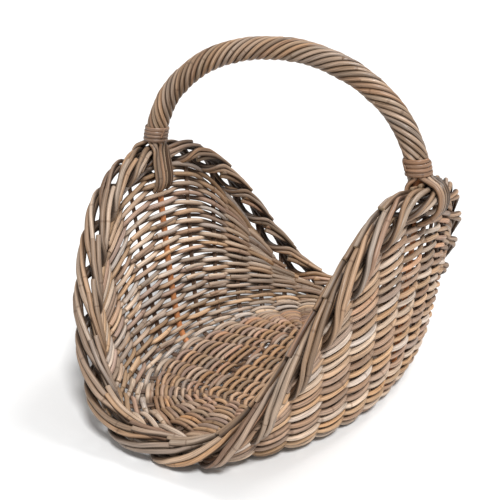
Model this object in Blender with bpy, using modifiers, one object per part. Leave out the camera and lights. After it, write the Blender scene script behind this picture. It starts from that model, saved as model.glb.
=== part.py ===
"""Egg collection basket: an oval woven basket with two high sides, two low ends and a twisted arch handle.

Metres, +Z up. The basket is 0.51 m long along Y and its handle stands in the XZ plane. The origin is
the middle of the footprint, on the surface that the basket stands on. The wall is one smooth surface,
wall_point(), that rises from the oval base to the rim. Ribs run up it, bands of weaving pass
alternately outside and inside them, and a border of three strands laid like a rope closes its edge.
"""

from math import cos, exp, pi, sin, tau

import bpy
from mathutils import Vector

# Rim: the middle line of the border, an oval that is high at the sides and low at the ends.
RIM_HALF_WIDTH = 0.175
RIM_HALF_LENGTH = 0.240
RIM_SIDE_HEIGHT = 0.2530
RIM_END_HEIGHT = 0.018
RIM_SQUARENESS = 2.65
RIM_DIP = 2.33

# Base: a flat oval whose middle layer lies at BASE_LEVEL.
BASE_HALF_WIDTH = 0.130
BASE_HALF_LENGTH = 0.190
BASE_SQUARENESS = 2.15
BASE_LEVEL = 0.007
BASE_PLATE_THICKNESS = 0.004
BASE_PLATE_INSET = 0.004

# Wall profile: how far it runs out flat from the base, and how it leans into the rim.
HEEL_REACH = 0.60
SIDE_LEAN = 0.36
END_LEAN = 0.14
LEAN_HEIGHT = 0.30

# Weaving and ribs.
STAKES = 30
CROSS_RIBS_EACH_WAY = 3
RIB_RADIUS = 0.0022
END_RIB_START = 0.114
END_RIB_SPREAD = 0.80
SIDE_ROW_PITCH = 0.0063
END_ROW_PITCH = 0.0050
BAND_THICKNESS = 0.0024
BAND_GAP = 0.0008
BAND_OFFSET = 0.0050
ROWS_IN_ROUND = 4
ROUNDS = 2
SIDE_BANDS = 7
FEWEST_ROWS_AT_BAND_END = 0.7
FIRST_ROW = 0.5
RIB_HEEL_HEIGHT = 0.07
RIB_HEEL_MOST = 0.6
RIB_HEEL_POINTS = 7
RIB_SPACING = 0.05

# Border: three strands laid round the rim like a rope, each going over the top from outside to inside.
BORDER_TURNS = 10
BORDER_HALF_WIDTH = 0.0120
BORDER_HALF_DEPTH = 0.0100
BORDER_STRAND_RADIUS = 0.0048
BORDER_POINTS_PER_TURN = 10
BORDER_CLEARANCE = 0.0180
HANDLE_BULGE = 0.013
HANDLE_BULGE_LENGTH = 0.035

# Handle: a bow with strands twisted round it.
BOW_HALF_SPAN = 0.1755
BOW_SPRING_HEIGHT = 0.248
BOW_TOP_HEIGHT = 0.3955
BOW_ROUNDNESS = 0.90
BOW_RADIUS = 0.0066
BOW_TIP_RADIUS = 0.0023
BOW_NECK_RADIUS = 0.0046
BOW_NECK_OFFSET = 0.0088
BOW_TIP_START = 0.008
BOW_HEEL_SPACING = 0.014
BOW_HEEL_POINTS = 5
BOW_WALL_SPACING = 0.036
BOW_WALL_POINTS = 4
BOW_NECK_START = 0.026
BOW_NECK_MIDDLE = 0.016
BOW_NECK_END = 0.004
BOW_ARCH_POINTS = 27
STRANDS = 10
STRAND_RADIUS = 0.00255
STRAND_TURNS = 4.4
STRAND_END_HEIGHT = 0.2725
STRAND_POINTS = 42
GAP = 0.0003

# Bindings that close the foot of the twist.
BINDING_RADIUS = 0.0018
BINDING_TURNS = 4.0
BINDING_LOW = 0.2745
BINDING_HIGH = 0.2905
BINDING_POINTS_PER_TURN = 14

GREY_CANE = (0.36, 0.29, 0.22)
TAUPE_CANE = (0.27, 0.21, 0.155)
SILVER_CANE = (0.42, 0.36, 0.30)
DARK_RIB = (0.12, 0.075, 0.045)
RED_BROWN_ROD = (0.33, 0.14, 0.06)

NEARBY = 0.002
OUTLINE_SAMPLES = 720
PROFILE_SAMPLES = 48


def signed_power(value, exponent):
    return (abs(value) ** exponent) * (1 if value >= 0 else -1)


def oval(angle, half_width, half_length, squareness):
    """A point on a squared oval, starting at +X and turning towards +Y."""
    power = 2 / squareness
    return Vector(
        (
            half_width * signed_power(cos(angle), power),
            half_length * signed_power(sin(angle), power),
            0,
        )
    )


def rim_at_angle(angle):
    point = oval(angle, RIM_HALF_WIDTH, RIM_HALF_LENGTH, RIM_SQUARENESS)
    dip = abs(cos(angle)) ** RIM_DIP
    point.z = RIM_END_HEIGHT + (RIM_SIDE_HEIGHT - RIM_END_HEIGHT) * dip
    return point


def base_at_angle(angle):
    point = oval(angle, BASE_HALF_WIDTH, BASE_HALF_LENGTH, BASE_SQUARENESS)
    point.z = BASE_LEVEL
    return point


class EvenLoop:
    """A closed curve that is read by the fraction of its length, measured in plan or in space."""

    def __init__(self, curve, in_plan):
        self.curve = curve
        self.lengths = [0.0]
        last = curve(0)
        for i in range(1, OUTLINE_SAMPLES + 1):
            point = curve(tau * i / OUTLINE_SAMPLES)
            step = point - last
            if in_plan:
                step.z = 0
            self.lengths.append(self.lengths[-1] + step.length)
            last = point

    def at(self, fraction):
        fraction %= 1
        wanted = fraction * self.lengths[-1]
        low, high = 0, OUTLINE_SAMPLES
        while high - low > 1:
            middle = (low + high) // 2
            if self.lengths[middle] <= wanted:
                low = middle
            else:
                high = middle
        share = (wanted - self.lengths[low]) / (self.lengths[high] - self.lengths[low])
        return self.curve(tau * (low + share) / OUTLINE_SAMPLES)


RIM_IN_PLAN = EvenLoop(rim_at_angle, True)
RIM_IN_SPACE = EvenLoop(rim_at_angle, False)
BASE_IN_PLAN = EvenLoop(base_at_angle, True)


def on_rim(fraction):
    return RIM_IN_PLAN.at(fraction)


def side_share(rim_point):
    """1 at the middle of a high side, 0 at the middle of a low end."""
    return (abs(rim_point.x) / RIM_HALF_WIDTH) ** (RIM_SQUARENESS / 2)


def profile(fraction):
    """The wall's profile at this fraction of the way round: four Bezier points, base to rim."""
    start = BASE_IN_PLAN.at(fraction)
    end = on_rim(fraction)
    out = Vector((end.x - start.x, end.y - start.y, 0))
    lean = END_LEAN + (SIDE_LEAN - END_LEAN) * side_share(end)
    heel = start + out * HEEL_REACH
    shoulder = end - out * lean
    shoulder.z = start.z + (end.z - start.z) * LEAN_HEIGHT
    return start, heel, shoulder, end


def bezier(points, t):
    a, b, c, d = points
    s = 1 - t
    return a * s**3 + b * (3 * s * s * t) + c * (3 * s * t * t) + d * t**3


PROFILES = {}


def measured_profile(fraction):
    """Points up the profile and the wall's height along it at each."""
    key = round(fraction % 1, 6)
    if key not in PROFILES:
        control = profile(key)
        points = [bezier(control, i / PROFILE_SAMPLES) for i in range(PROFILE_SAMPLES + 1)]
        heights = [0.0]
        for before, after in zip(points, points[1:]):
            heights.append(heights[-1] + (after - before).length)
        PROFILES[key] = points, heights
    return PROFILES[key]


def wall_length(fraction):
    return measured_profile(fraction)[1][-1]


def on_wall(fraction, height):
    """The wall's middle surface: height is measured along the wall, from the base's edge."""
    points, heights = measured_profile(fraction)
    i = 0
    while i < PROFILE_SAMPLES - 1 and heights[i + 1] < height:
        i += 1
    share = (height - heights[i]) / (heights[i + 1] - heights[i])
    return points[i].lerp(points[i + 1], share)


def wall_normal(fraction, height):
    """The outward normal of the wall."""
    across = on_wall(fraction + NEARBY, height) - on_wall(fraction - NEARBY, height)
    up = on_wall(fraction, height + NEARBY) - on_wall(fraction, height - NEARBY)
    return across.cross(up).normalized()


def wall_point(fraction, height, offset=0.0):
    return on_wall(fraction, height) + wall_normal(fraction, height) * offset


def row_pitch(fraction):
    share = side_share(on_rim(fraction))
    return END_ROW_PITCH + (SIDE_ROW_PITCH - END_ROW_PITCH) * share


def weave_top(fraction):
    """How high the weaving and the ribs go before they would meet the border."""
    height = wall_length(fraction)
    along_rim = (on_rim(fraction + NEARBY) - on_rim(fraction - NEARBY)).normalized()
    up = (on_wall(fraction, height) - on_wall(fraction, height - NEARBY)).normalized()
    return height - BORDER_CLEARANCE / along_rim.cross(up).length


def rows_at(fraction):
    return weave_top(fraction) / row_pitch(fraction)


RIM_FRACTIONS = {}


def rim_fraction(stake):
    """The fraction of the way round, in plan, of the place where a stake meets the rim.

    Stakes are spaced evenly along the rim in space, so on the steep parts they stand closer in plan.
    """
    if stake not in RIM_FRACTIONS:
        point = RIM_IN_SPACE.at(stake / STAKES)
        RIM_FRACTIONS[stake] = nearest_fraction(point) % 1
    return RIM_FRACTIONS[stake]


def stake_point(stake, height, offset=0.0):
    """A point on the wall at this stake. Stakes leave the base evenly spaced and fan out to the rim."""
    high = rim_fraction(stake)
    low = high + ((stake / STAKES - high + 0.5) % 1 - 0.5)
    share = min(1, height / weave_top(high))
    return wall_point(low + (high - low) * share, height, offset)


def make_collection(name):
    collection = bpy.data.collections.new(name)
    bpy.context.scene.collection.children.link(collection)
    return collection


def make_material(name, colour, roughness=0.6):
    material = bpy.data.materials.new(name)
    material.use_nodes = True
    shader = material.node_tree.nodes["Principled BSDF"]
    shader.inputs["Base Color"].default_value = (*colour, 1)
    shader.inputs["Roughness"].default_value = roughness
    shader.inputs["Metallic"].default_value = 0
    return material


def add_object(name, data, colour):
    data.materials.append(make_material(name, colour))
    made = bpy.data.objects.new(name, data)
    BASKET.objects.link(made)
    return made


def add_cane(name, points, radius, colour, closed=False, radii=None, resolution=0):
    """A round cane through these points. radii scales it point by point."""
    curve = bpy.data.curves.new(name, "CURVE")
    curve.dimensions = "3D"
    curve.bevel_depth = radius
    curve.bevel_resolution = resolution
    curve.use_fill_caps = True
    spline = curve.splines.new("POLY")
    spline.points.add(len(points) - 1)
    for i, point in enumerate(points):
        spline.points[i].co = (*point, 1)
        spline.points[i].radius = radii[i] / radius if radii else 1
    spline.use_cyclic_u = closed
    return add_object(name, curve, colour)


def add_sheet(name, rows, closed, colour):
    """A sheet through rows of points, thickened evenly both ways."""
    width = len(rows[0])
    faces = []
    for i in range(len(rows) if closed else len(rows) - 1):
        for j in range(width - 1):
            near, far = i * width + j, (i + 1) % len(rows) * width + j
            faces.append((near, far, far + 1, near + 1))
    mesh = bpy.data.meshes.new(name)
    mesh.from_pydata([tuple(point) for row in rows for point in row], [], faces)
    made = add_object(name, mesh, colour)
    solidify = made.modifiers.new("thickness", "SOLIDIFY")
    solidify.thickness = BAND_THICKNESS
    solidify.offset = 0
    return made


def make_base_plate():
    """The woven base as a flat oval plate, whose underside is what the basket stands on."""
    curve = bpy.data.curves.new("base_weave", "CURVE")
    curve.dimensions = "2D"
    curve.fill_mode = "BOTH"
    curve.extrude = BASE_PLATE_THICKNESS / 2
    spline = curve.splines.new("POLY")
    count = STAKES * 2
    spline.points.add(count - 1)
    for i in range(count):
        outline = oval(
            tau * i / count,
            BASE_HALF_WIDTH - BASE_PLATE_INSET,
            BASE_HALF_LENGTH - BASE_PLATE_INSET,
            BASE_SQUARENESS,
        )
        spline.points[i].co = (outline.x, outline.y, 0, 1)
    spline.use_cyclic_u = True
    plate = add_object("base_weave", curve, TAUPE_CANE)
    plate.location.z = BASE_PLATE_THICKNESS / 2


def rib_heights(stake):
    """Places up a rib, closer together round the heel, where the wall turns up."""
    top = weave_top(rim_fraction(stake)) - GAP
    heel_end = min(RIB_HEEL_HEIGHT, top * RIB_HEEL_MOST)
    low = [heel_end * i / RIB_HEEL_POINTS for i in range(1, RIB_HEEL_POINTS + 1)]
    steps = max(2, round((top - heel_end) / RIB_SPACING))
    high = [heel_end + (top - heel_end) * i / steps for i in range(1, steps + 1)]
    return low + high


def wall_run(stake):
    return [stake_point(stake, height) for height in rib_heights(stake)]


def make_cross_ribs():
    """Ribs that run up one side, across the base and up the other side."""
    for number in range(-CROSS_RIBS_EACH_WAY, CROSS_RIBS_EACH_WAY + 1):
        right, left = number % STAKES, STAKES // 2 - number
        start, end = on_wall(right / STAKES, 0), on_wall(left / STAKES, 0)
        across = [start.lerp(end, i / 4) for i in range(5)]
        if number == 0:
            points = across
            name = "base_middle_stick"
        else:
            points = wall_run(right)[::-1] + across + wall_run(left)
            name = f"cross_rib_{number + CROSS_RIBS_EACH_WAY + (number < 0):02d}"
        add_cane(name, points, RIB_RADIUS, DARK_RIB)


def make_end_ribs():
    """Ribs that fan out from beyond the last cross rib and run up a low end."""
    for end, way in (("front", -1), ("back", 1)):
        for i, number in enumerate(range(CROSS_RIBS_EACH_WAY + 1, STAKES // 2 - CROSS_RIBS_EACH_WAY)):
            stake = way * number % STAKES
            edge = on_wall(stake / STAKES, 0)
            start = Vector((edge.x * END_RIB_SPREAD, way * END_RIB_START, edge.z))
            points = [start, start.lerp(edge, 0.5), edge] + wall_run(stake)
            add_cane(f"{end}_rib_{i + 1}", points, RIB_RADIUS, DARK_RIB)


def band_row(half_stake, parity, low, high, levels):
    """Points up a band at this half-stake: it passes outside or inside a rib at each whole stake."""
    stake = half_stake % (2 * STAKES) / 2
    fraction = rim_fraction(stake)
    pitch = row_pitch(fraction)
    offset = 0
    if half_stake % 2 == 0:
        offset = -BAND_OFFSET if (half_stake // 2 + parity) % 2 else BAND_OFFSET
    bottom = low * pitch + BAND_GAP / 2
    top = min(high, rows_at(fraction)) * pitch - BAND_GAP / 2
    return [stake_point(stake, bottom + (top - bottom) * i / levels, offset) for i in range(levels + 1)]


def make_rounds():
    """Bands that go all the way round, from the base's edge to the top of the low ends."""
    for number in range(ROUNDS):
        low = FIRST_ROW + number * ROWS_IN_ROUND
        rows = [band_row(i, number, low, low + ROWS_IN_ROUND, 2) for i in range(2 * STAKES)]
        name = "upsett_band" if number == 0 else f"round_band_{number + 1}"
        add_sheet(name, rows, True, TAUPE_CANE if number == 0 else GREY_CANE)


def make_side_bands():
    """Short bands that fill each high side, above the full rounds, and die out at the border."""
    first = FIRST_ROW + ROUNDS * ROWS_IN_ROUND
    rows_each = (rows_at(0) - first) / SIDE_BANDS
    for side, middle in (("right", 0), ("left", STAKES)):
        for number in range(SIDE_BANDS):
            low = first + number * rows_each
            enough = low + FEWEST_ROWS_AT_BAND_END
            reach = max(i for i in range(STAKES // 2 + 1) if rows_at(rim_fraction(i / 2)) > enough)
            rows = [
                band_row(middle + i, number + ROUNDS + middle // 2, low, low + rows_each, 1)
                for i in range(-reach, reach + 1)
            ]
            add_sheet(f"{side}_band_{number + 1}", rows, False, GREY_CANE)


def border_frame(share):
    """The border's middle line, the direction across its width and the one through its depth."""
    centre = RIM_IN_SPACE.at(share)
    along = (RIM_IN_SPACE.at(share + NEARBY) - RIM_IN_SPACE.at(share - NEARBY)).normalized()
    fraction = nearest_fraction(centre)
    height = wall_length(fraction)
    out = wall_normal(fraction, height - 2 * NEARBY)
    out = (out - along * out.dot(along)).normalized()
    bulge = HANDLE_BULGE * exp(-((centre.y / HANDLE_BULGE_LENGTH) ** 2))
    return centre + out * bulge, out.cross(along), out


def nearest_fraction(point):
    """The fraction of the way round, in plan, at which this rim point lies."""
    steps = 2 * STAKES
    nearest = min(range(steps), key=lambda i: (on_rim(i / steps) - point).length)
    low, high = (nearest - 1) / steps, (nearest + 1) / steps
    for _ in range(24):
        a, b = low + (high - low) / 3, high - (high - low) / 3
        if (on_rim(a) - point).length < (on_rim(b) - point).length:
            high = b
        else:
            low = a
    return (low + high) / 2


def make_border():
    """Three strands laid round the rim. Each closes on itself after a whole number of turns."""
    count = BORDER_TURNS * BORDER_POINTS_PER_TURN
    frames = [border_frame(i / count) for i in range(count)]
    for strand in range(3):
        points = []
        for i, (centre, across, out) in enumerate(frames):
            turn = tau * (i / BORDER_POINTS_PER_TURN + strand / 3)
            width = across * (BORDER_HALF_WIDTH * sin(turn))
            depth = out * (BORDER_HALF_DEPTH * cos(turn))
            points.append(centre + width + depth)
        add_cane(f"border_strand_{strand + 1}", points, BORDER_STRAND_RADIUS, SILVER_CANE, closed=True)


def on_bow(t):
    """The bow's middle line, from the right spring (t = 0) over the top to the left one (t = pi)."""
    rise = (BOW_TOP_HEIGHT - BOW_SPRING_HEIGHT) * max(sin(t), 0) ** BOW_ROUNDNESS
    return Vector((BOW_HALF_SPAN * cos(t), 0, BOW_SPRING_HEIGHT + rise))


def bow_angle(height):
    """The t at which the bow's right leg is this high."""
    low, high = 0.0, pi / 2
    for _ in range(40):
        middle = (low + high) / 2
        if on_bow(middle).z < height:
            low = middle
        else:
            high = middle
    return low


def even_bow(low_height, count):
    """Points evenly spaced along the bow, from this height on the right leg to the same on the left."""
    start = bow_angle(low_height)
    fine = [on_bow(start + (pi - 2 * start) * i / 400) for i in range(401)]
    lengths = [0.0]
    for before, after in zip(fine, fine[1:]):
        lengths.append(lengths[-1] + (after - before).length)
    points, j = [], 0
    for i in range(count):
        wanted = lengths[-1] * i / (count - 1)
        while j < 399 and lengths[j + 1] < wanted:
            j += 1
        share = (wanted - lengths[j]) / (lengths[j + 1] - lengths[j])
        points.append(fine[j].lerp(fine[j + 1], share))
    return points


def directions(points):
    """The direction of a line of points at each of them."""
    ends = [points[0], *points, points[-1]]
    return [(after - before).normalized() for before, after in zip(ends, ends[2:])]


def make_bow():
    """The bow, which thins below its binding, passes inside the border and is woven in like a rib."""
    top = wall_length(0)
    heights = [BOW_TIP_START + BOW_HEEL_SPACING * i for i in range(BOW_HEEL_POINTS)]
    heights += [heights[-1] + BOW_WALL_SPACING * i for i in range(1, BOW_WALL_POINTS + 1)]
    right = [wall_point(0, height) for height in heights]
    thin = [BOW_TIP_RADIUS] * len(right)
    for below, share, radius in (
        (BOW_NECK_START, 0.6, (BOW_TIP_RADIUS + BOW_NECK_RADIUS) / 2),
        (BOW_NECK_MIDDLE, 0.95, BOW_NECK_RADIUS),
        (BOW_NECK_END, 1.0, BOW_NECK_RADIUS),
    ):
        right.append(wall_point(0, top - below, -BOW_NECK_OFFSET * share))
        thin.append(radius)
    arch = even_bow(STRAND_END_HEIGHT - GAP, BOW_ARCH_POINTS)
    left = [Vector((-point.x, point.y, point.z)) for point in reversed(right)]
    add_cane(
        "handle_bow",
        right + arch + left,
        BOW_RADIUS,
        RED_BROWN_ROD,
        radii=thin + [BOW_RADIUS] * len(arch) + thin[::-1],
        resolution=1,
    )


def make_strands():
    """Canes twisted round the bow, side by side."""
    middle = even_bow(STRAND_END_HEIGHT, STRAND_POINTS)
    reach = BOW_RADIUS + 3 * GAP + STRAND_RADIUS
    for number in range(STRANDS):
        points = []
        for i, (centre, along) in enumerate(zip(middle, directions(middle))):
            turn = tau * (number / STRANDS - STRAND_TURNS * (i / (STRAND_POINTS - 1) - 0.5))
            side = Vector((0, 1, 0))
            points.append(centre + (side * cos(turn) + along.cross(side) * sin(turn)) * reach)
        add_cane(f"handle_strand_{number + 1:02d}", points, STRAND_RADIUS, GREY_CANE)


def make_bindings():
    """A thin cane wound round each foot of the twist."""
    reach = BOW_RADIUS + 2 * STRAND_RADIUS + 5 * GAP + BINDING_RADIUS
    count = round(BINDING_TURNS * BINDING_POINTS_PER_TURN)
    for name, way in (("right", 1), ("left", -1)):
        points = []
        for i in range(count + 1):
            share = i / count
            centre = on_bow(bow_angle(BINDING_LOW + (BINDING_HIGH - BINDING_LOW) * share))
            turn = tau * BINDING_TURNS * share
            across = Vector((cos(turn), sin(turn), 0)) * reach
            points.append(Vector(((centre.x + across.x) * way, across.y * way, centre.z)))
        add_cane(f"handle_binding_{name}", points, BINDING_RADIUS, TAUPE_CANE)


for old in list(bpy.data.objects):
    bpy.data.objects.remove(old)
BASKET = make_collection("egg_collection_basket")
make_base_plate()
make_cross_ribs()
make_end_ribs()
make_rounds()
make_side_bands()
make_border()
make_bow()
make_strands()
make_bindings()
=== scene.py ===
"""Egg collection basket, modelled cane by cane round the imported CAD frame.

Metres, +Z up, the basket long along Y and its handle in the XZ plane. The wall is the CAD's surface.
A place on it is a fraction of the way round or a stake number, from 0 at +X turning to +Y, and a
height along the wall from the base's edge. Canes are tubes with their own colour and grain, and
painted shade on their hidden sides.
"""

import bpy
import numpy as np
from mathutils import Matrix, Vector


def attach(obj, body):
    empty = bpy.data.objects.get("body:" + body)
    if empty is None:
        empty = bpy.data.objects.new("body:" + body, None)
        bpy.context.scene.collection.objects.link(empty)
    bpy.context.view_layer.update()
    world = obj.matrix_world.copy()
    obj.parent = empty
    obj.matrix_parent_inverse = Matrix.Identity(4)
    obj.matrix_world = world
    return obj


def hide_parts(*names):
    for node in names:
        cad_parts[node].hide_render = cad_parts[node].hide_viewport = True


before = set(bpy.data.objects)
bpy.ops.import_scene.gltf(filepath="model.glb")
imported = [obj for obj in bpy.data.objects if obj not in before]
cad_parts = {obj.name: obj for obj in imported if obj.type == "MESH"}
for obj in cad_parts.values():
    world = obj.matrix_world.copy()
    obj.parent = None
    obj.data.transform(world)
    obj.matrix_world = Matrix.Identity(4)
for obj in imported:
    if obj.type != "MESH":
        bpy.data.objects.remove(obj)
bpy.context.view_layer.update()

TAU = 2 * np.pi
RNG = np.random.default_rng(11)

# The wall's outline and profile, as in the CAD.
RIM_HALF_WIDTH, RIM_HALF_LENGTH = 0.175, 0.240
RIM_SIDE_HEIGHT, RIM_END_HEIGHT = 0.2530, 0.018
RIM_SQUARENESS, RIM_DIP = 2.65, 2.33
BASE_HALF_WIDTH, BASE_HALF_LENGTH = 0.130, 0.190
BASE_SQUARENESS, BASE_LEVEL = 2.15, 0.007
HEEL_REACH, SIDE_LEAN, END_LEAN, LEAN_HEIGHT = 0.60, 0.36, 0.14, 0.30
STAKES = 30
# Stakes have fanned out fully this far below the rim.
WEAVE_CLEARANCE = 0.020
# The border bulges out at the handle's feet, and is wrapped more tightly there.
HANDLE_BULGE, HANDLE_BULGE_LENGTH, HANDLE_PINCH = 0.011, 0.035, 0.18
# The step between points that are compared to find a direction.
NEARBY = 0.002

# A cane's swelling at its nodes, its ends' chamfer, and its slow changes in size and brightness.
KNOT_SWELL, KNOT_LENGTH = 0.07, 0.0028
CHAMFER_LENGTH, CHAMFER_SIZE = 0.0003, 0.86
SIZE_WANDER, SIZE_WANDER_LENGTH = 0.025, 0.05
FADE_WANDER, FADE_WANDER_LENGTH = 0.10, 0.11

# Stakes, laid in pairs. The cross sticks are the middle one and three on each side of it.
STAKE, STAKE_PAIR = 0.00165, 0.0018
STAKE_BELOW_RIM = 0.006
CROSS_EACH_WAY = 3
END_FAN, FAN_GAP = 0.30, 0.0035

# Weaving canes of the wall, and how far they swing in and out past the stakes.
WEAVER = 0.00282
SWING_RIGHT, SWING_LEFT = 0.0049, 0.0038
RIGHT_ROW_PITCH, LEFT_ROW_PITCH, END_ROW_PITCH = 0.0055, 0.0065, 0.0052
FULL_ROWS, ROWS_IN_BAND, SIDE_BANDS = 8, 4, 7
# Each side: name, middle stake, pitch, and a factor on how close to the next row a row may end.
SIDES = (("right", 0, RIGHT_ROW_PITCH, 1.0), ("left", STAKES // 2, LEFT_ROW_PITCH, 0.32))
# How far below the rim the top row of a side is counted, and how far below it rows are held.
TOP_ROW_MARGIN, ROW_CEILING = 0.008, 0.0045
# How gradually a row bends to run along below the border.
EASE_AT_SIDES, EASE_ON_SLOPES = 0.004, 0.009
# How rows sag where the rim is lower: from this share of the side's height up, and how strongly.
SAG_FROM, SAG_GROWTH = 0.2, 1.33
SAG_RIGHT, SAG_LEFT_FRONT, SAG_LEFT_BACK = 0.35, 0.95, 1.12
# Rows closer than this share of their pitch lie in three layers, this far apart.
PACKED_BELOW, PACKED_STEP = 0.75, 0.0030
LOWEST_HEIGHT, LOWEST_LEVEL = 0.0005, WEAVER * 1.22
# Where one cane ends and the next begins: how they overlap, in stakes, and lie side by side.
OVERLAP_BEFORE, OVERLAP_AFTER = 0.35, 0.4
JOIN_SHIFT, JOIN_LENGTH = 0.0016, 0.45

# Base.
BASE_WEAVER, BASE_SWING = 0.0024, 0.0041
CENTRE_ROWS, CENTRE_HALF_WIDTH, CENTRE_TURN = 16, 0.036, 0.0056
BASE_RINGS, RING_START, RING_OVERLAP = 19, 0.35, 0.3
RING_SIDE_GAP, RING_END_GAP = 0.004, 0.0085

# Border.
BUNDLES = 30
BORDER_REACH, BORDER_CANE = 0.0138, 0.0030
# One bundle of canes, by its place along the border in bundle spacings. Its blunt ends lie on top,
# it goes in over the edge, crosses under to the outside, comes back over and is cut off inside.
BUNDLE_PLACES = (-1.25, -0.70, -0.15, 0.02, 0.22, 0.42, 0.90, 1.40, 1.90, 2.35, 2.70, 2.82)
BUNDLE_TURNS = (122, 140, 172, 205, 270, 330, 395, 428, 460, 510, 555, 572)
BUNDLE_REACH = (1.13, 1.11, 1.00, 0.92, 0.86, 0.92, 1.02, 1.00, 0.84, 0.72, 0.90, 1.04)
# Behind the handle's right foot, how much tighter a bundle's blunt ends and its outer loop lie.
TIGHT_ENDS, TIGHT_END_LENGTH = 0.4, 0.5
TIGHT_LOOPS, TIGHT_LOOP_PLACE, TIGHT_LOOP_LENGTH = 0.33, 1.55, 0.6

# Handle.
BOW_HALF_SPAN, BOW_SPRING_HEIGHT = 0.1755, 0.248
BOW_TOP_HEIGHT, BOW_ROUNDNESS = 0.3955, 0.90
BOW_ROD, BOW_RIGHT_LEG, BOW_LEFT_LEG = 0.0069, 0.0028, 0.0041
STRANDS, STRAND_TURNS = 10, 4.4
STRAND, STRAND_REACH = 0.00285, 0.0100
STRAND_END_HEIGHT = 0.2725
STRAND_LIFT, STRAND_OVERLAP = 0.0004, 3
TAIL_SLOT, TAIL_STEP = 0.0057, 0.0035
# A strand below its binding: distance from the basket's middle, height, and how far it has moved
# across to its own slot. Some strands go down inside the border and some out over it.
TAIL_INSIDE = ((0.166, 0.264, 0.35), (0.1652, 0.254, 0.8), (0.164, 0.243, 1.0), (0.1625, 0.232, 1.0),
               (0.1628, 0.224, 0.98), (0.165, 0.217, 0.95), (0.169, 0.212, 0.92))
TAIL_OUTSIDE = ((0.1905, 0.269, 0.35), (0.197, 0.2655, 0.7), (0.202, 0.258, 0.95),
                (0.203, 0.249, 1.0), (0.201, 0.240, 1.0), (0.1955, 0.2325, 0.98),
                (0.188, 0.2265, 0.96), (0.180, 0.223, 0.95))
BINDING_LOW, BINDING_HIGH = 0.2735, 0.2915
BINDING_TURNS, BINDING_START = 3.9, 0.6
BINDING_CANE, BINDING_REACH = 0.0024, STRAND_REACH + STRAND + 0.0010
BINDING_END, BINDING_END_LIFT = 0.0017, 0.0016

# Painted shade, standing in for the shadow in a cane's crevices and grooves: how dark it makes
# the hidden side of a cane, as a share of its own colour, with more taken from green and blue
# than from red.
CREVICE_PAINTED_SHADE, WEAVE_PAINTED_SHADE = 0.20, 0.34
PAINTED_SHADE_POWERS = np.array([1.0, 1.12, 1.25])
# In the weave the painted shade lifts from this share of the way out, over this much.
PAINTED_SHADE_FROM, PAINTED_SHADE_OVER = 0.12, 0.45
# Elsewhere the painted shade lifts between these cosines to the outward direction.
BORDER_PAINTED_SHADE, STRAND_PAINTED_SHADE, BINDING_PAINTED_SHADE = (-0.05, 0.75), (0.25, 1.0), (-0.6, 0.5)

# Cane colours, linear, and the tone of each part of the basket, which multiplies them.
GREY = (0.350, 0.268, 0.212)
TAUPE = (0.290, 0.200, 0.146)
TAN = (0.395, 0.272, 0.184)
HONEY = (0.375, 0.252, 0.158)
SILVER = (0.430, 0.350, 0.290)
ROSE = (0.360, 0.244, 0.186)
# Stake colours: their own weathered brown, made darker still as painted shade for the shadow inside the
# weave.
BROWN_AND_SHADED = (0.160, 0.100, 0.066)
DARK_AND_SHADED = (0.095, 0.056, 0.036)
RED_BROWN = (0.400, 0.170, 0.070)
WEAVE_COLOURS = (GREY, TAUPE, TAN, HONEY, SILVER, ROSE)
BASE_COLOURS = (TAUPE, ROSE, TAN, GREY, HONEY)
WEAVE_TONE = np.array((1.20, 1.18, 1.14))
BASE_TONE = np.array((1.03, 0.97, 0.91))
BORDER_TONE = np.array((0.86, 0.80, 0.73))
HANDLE_TONE = np.array((0.99, 0.93, 0.85))
BINDING_TONE = np.array((0.92, 0.76, 0.62))
DARK_STAKES = 0.62

# Materials: how fine each noise is across a cane and along it, and the tones that it brings out.
STREAK_SCALE, PORE_SCALE = (1500, 1500, 26), (2600, 2600, 520)
PATCH_SCALE, DRIFT_SCALE = (160, 160, 34), (40, 40, 9)
WARM, WEATHERED, NODE_DARK = (1.14, 1.0, 0.84), (0.92, 0.94, 0.98), (0.42, 0.34, 0.28)
PITH_PALE, PITH_DARK = (0.40, 0.29, 0.18), (0.22, 0.15, 0.09)
NODE_RING, BUMP_DISTANCE, CANE_GLOSS = (0.004, 0.016), 0.0006, 0.45
NODE_COLUMN, NODE_ROW = 200, 180

# Camera, fitted to the photo's view.
CAMERA_AZIMUTH, CAMERA_ELEVATION, CAMERA_ROLL = 30.37, 20.29, -0.24
CAMERA_DISTANCE, CAMERA_TARGET_HEIGHT = 1.1245, 0.1362
CAMERA_LENS, CAMERA_SHIFT, CAMERA_FAR = 67.74, (-0.0554, 0.0385), 60

UPWARD, DOWNWARD = [0, 0, 1.0], [0, 0, -1.0]


# -------- curves and surfaces


def signed_power(value, exponent):
    return np.sign(value) * np.abs(value) ** exponent


def unit(vectors):
    return vectors / np.maximum(np.linalg.norm(vectors, axis=-1, keepdims=True), 1e-12)


def bell(x):
    return np.exp(-(x**2))


def square_to(tangent, way):
    """The direction nearest to this way that is square to the tangent."""
    return unit(way - tangent * (way * tangent).sum(axis=1, keepdims=True))


def beside(line, away):
    """The direction across a line, square to this other direction."""
    return unit(np.cross(np.gradient(line, axis=0), away))


def path_lengths(points):
    """The distance along a line of points at each of them."""
    return np.concatenate([[0], np.cumsum(np.linalg.norm(np.diff(points, axis=0), axis=1))])


def read_table(wanted, marks, table):
    """Rows of a table between its own rows, which stand at these marks."""
    return np.stack([np.interp(wanted, marks, column) for column in table.T], axis=-1)


def pad_ends(values):
    return np.concatenate([values[:1], values, values[-1:]])


def level_circle(angle):
    return np.stack([np.cos(angle), np.sin(angle), np.zeros_like(angle)], axis=-1)


def oval(angle, half_width, half_length, squareness):
    power = 2 / squareness
    x = half_width * signed_power(np.cos(angle), power)
    y = half_length * signed_power(np.sin(angle), power)
    return np.stack([x, y, np.zeros_like(x)], axis=-1)


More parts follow.
